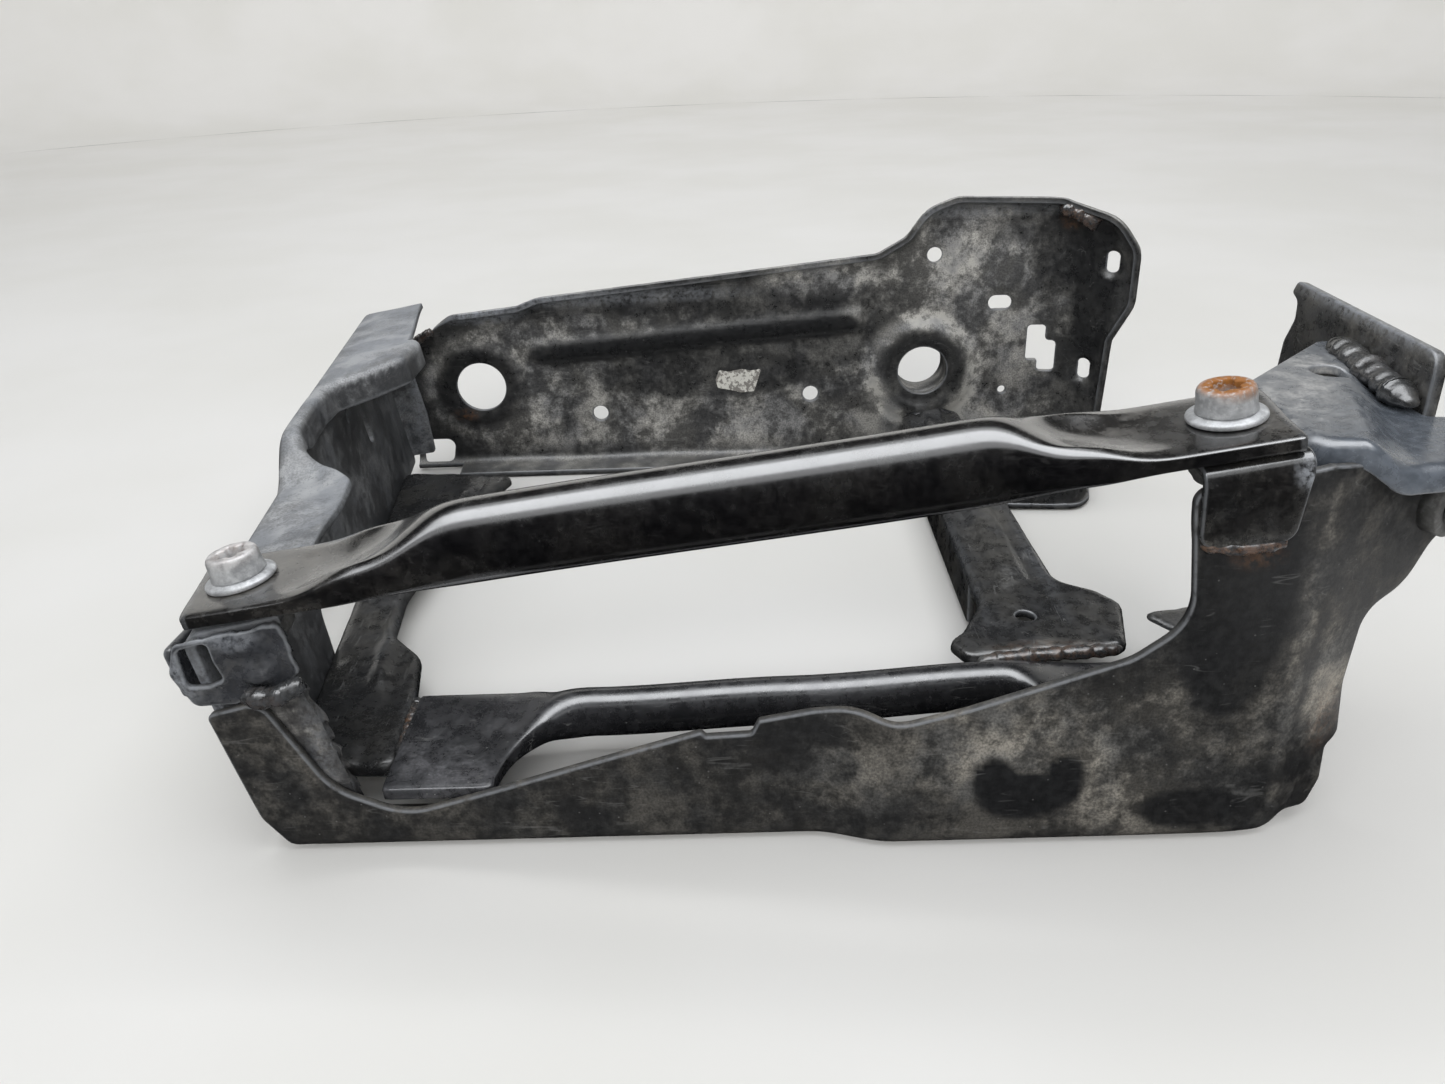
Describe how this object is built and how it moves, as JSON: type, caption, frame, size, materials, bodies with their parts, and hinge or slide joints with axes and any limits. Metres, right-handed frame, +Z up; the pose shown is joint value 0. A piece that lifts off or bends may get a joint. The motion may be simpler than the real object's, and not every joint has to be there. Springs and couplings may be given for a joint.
{
  "type": "spare wheel carrier frame",
  "caption": "Welded pressed-steel support frame, U-shaped in plan, with a bolt-on tubular brace across its open front top.",
  "frame": {"origin": "middle of the footprint, on the surface that the frame stands on", "axes": "+X along the long side plates towards the open end with the mounting flanges, +Y to the rear side plate, +Z up"},
  "size_m": [0.391, 0.3316, 0.1341],
  "materials": {
    "satin_black_paint": "satin, dusty and scuffed",
    "gloss_black_paint": "gloss",
    "zinc_flake": "zinc flake, rust in the sockets",
    "weld_metal": "rippled weld under paint",
    "nut_steel": "dull plated steel"
  },
  "bodies": {
    "frame": {"front_side_plate": "satin_black_paint", "rear_side_plate": "satin_black_paint", "rear_corner_foot": "satin_black_paint", "rear_bore_collar": "satin_black_paint", "left_end_member": "satin_black_paint", "left_seat_bracket": "satin_black_paint", "left_corner_gusset": "satin_black_paint", "left_cross_member": "satin_black_paint", "lower_rail": "satin_black_paint", "right_cross_member": "satin_black_paint", "leg_top_plate": "satin_black_paint", "leg_mounting_flange": "satin_black_paint", "leg_rear_web": "satin_black_paint", "leg_base_gusset": "satin_black_paint", "leg_spacer_collar": "nut_steel", "right_seat_bracket": "satin_black_paint", "left_weld_nut": "nut_steel", "right_weld_nut": "nut_steel", "left_seat_welds": "weld_metal", "right_seat_welds": "weld_metal", "leg_top_welds": "weld_metal", "cross_member_welds": "weld_metal", "rear_corner_welds": "weld_metal"},
    "brace": {"upper_brace": "gloss_black_paint"},
    "left_washer": {"left_bolt_washer": "zinc_flake"},
    "left_bolt": {"left_brace_bolt": "zinc_flake"},
    "right_washer": {"right_bolt_washer": "zinc_flake"},
    "right_bolt": {"right_brace_bolt": "zinc_flake"}
  },
  "joints": [
    {"name": "brace_lift", "type": "slide", "parent": "frame", "child": "brace", "axis": [-0.1564, 0.0046, 0.9877], "range_m": [0, 0.06]},
    {"name": "left_bolt_backout", "type": "slide", "parent": "brace", "child": "left_washer", "axis": [-0.1564, 0.0046, 0.9877], "range_m": [0, 0.018]},
    {"name": "left_bolt_turn", "type": "hinge", "parent": "left_washer", "child": "left_bolt", "pos_m": [-0.14991, -0.13519, 0.08157], "axis": [-0.1564, 0.0046, 0.9877], "range_deg": [0, 4320]},
    {"name": "right_bolt_backout", "type": "slide", "parent": "brace", "child": "right_washer", "axis": [-0.1564, 0.0046, 0.9877], "range_m": [0, 0.018]},
    {"name": "right_bolt_turn", "type": "hinge", "parent": "right_washer", "child": "right_bolt", "pos_m": [0.11961, -0.14319, 0.12427], "axis": [-0.1564, 0.0046, 0.9877], "range_deg": [0, 4320]}
  ],
  "couplings": [
    {"joint": "left_bolt_turn", "follows": "left_bolt_backout", "rad_per_m": 4188.8},
    {"joint": "right_bolt_turn", "follows": "right_bolt_backout", "rad_per_m": 4188.8}
  ]
}
